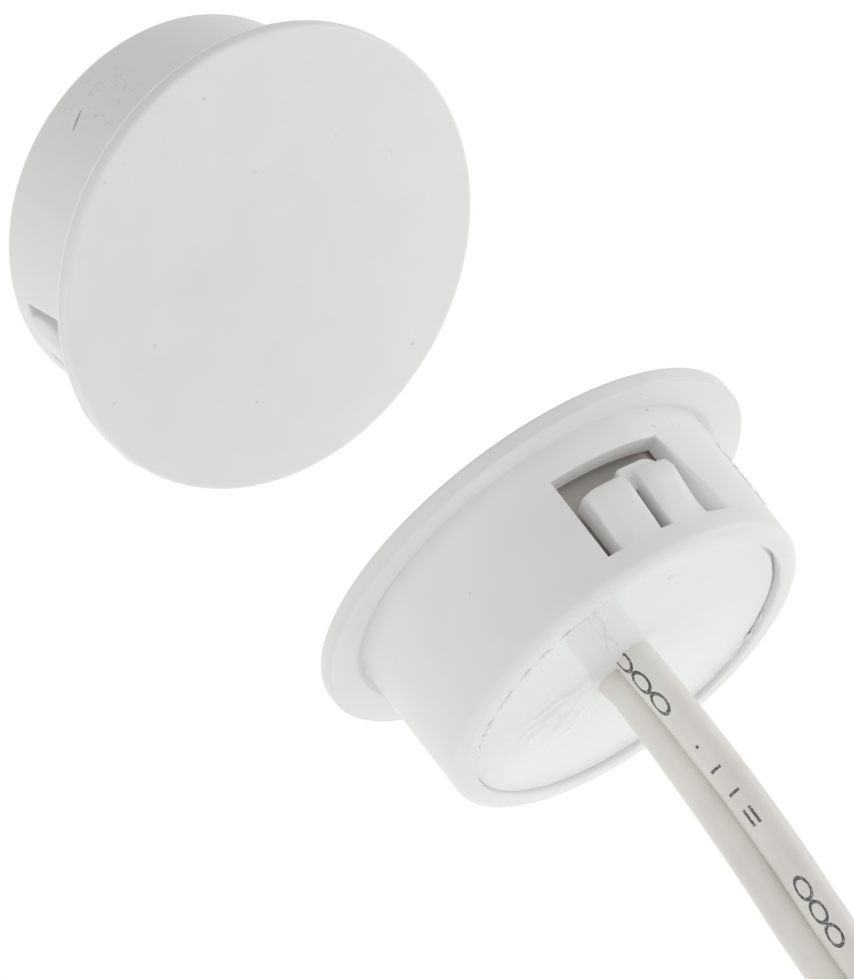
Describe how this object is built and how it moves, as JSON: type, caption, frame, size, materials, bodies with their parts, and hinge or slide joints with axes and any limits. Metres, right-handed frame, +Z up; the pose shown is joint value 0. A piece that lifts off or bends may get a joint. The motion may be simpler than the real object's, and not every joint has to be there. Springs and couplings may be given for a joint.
{
  "type": "recessed magnetic contact",
  "caption": "Press-in magnetic door contact: a wired reed switch half and its magnet half, each a flanged round plug with two snap clips.",
  "frame": {"origin": "on the surface that both halves lie on, below the middle of the pair (cord and coil left out)", "axes": "+X from the magnet half to the switch half, along the row that the two faces look along; +Z up"},
  "size_m": [0.0941, 0.053, 0.0223],
  "materials": {
    "housing_plastic": "satin",
    "carrier_plastic": "satin",
    "resin": "gloss",
    "reed_glass": "clear",
    "blade_metal": "bare",
    "solder": "bright",
    "copper_strands": "bare copper",
    "lead_vinyl": "satin vinyl",
    "magnet_plating": "nickel plate",
    "tie_paper": "matt"
  },
  "bodies": {
    "root": {"switch_housing": "housing_plastic", "reed_carrier": "carrier_plastic", "reed_glass": "reed_glass", "reed_blade_a": "blade_metal", "reed_blade_b": "blade_metal", "solder_bead_a": "solder", "solder_bead_b": "solder", "inner_leg_a": "lead_vinyl", "inner_leg_b": "lead_vinyl", "inner_conductor_a": "copper_strands", "inner_conductor_b": "copper_strands", "switch_fill": "resin", "magnet_housing": "housing_plastic", "magnet_carrier": "carrier_plastic", "magnet": "magnet_plating", "magnet_fill": "resin", "lead_cable": "lead_vinyl", "cable_coil": "lead_vinyl", "coil_tie": "tie_paper", "lead_leg_a": "lead_vinyl", "lead_leg_b": "lead_vinyl", "conductor_end_a": "copper_strands", "conductor_end_b": "copper_strands"}
  },
  "joints": []
}
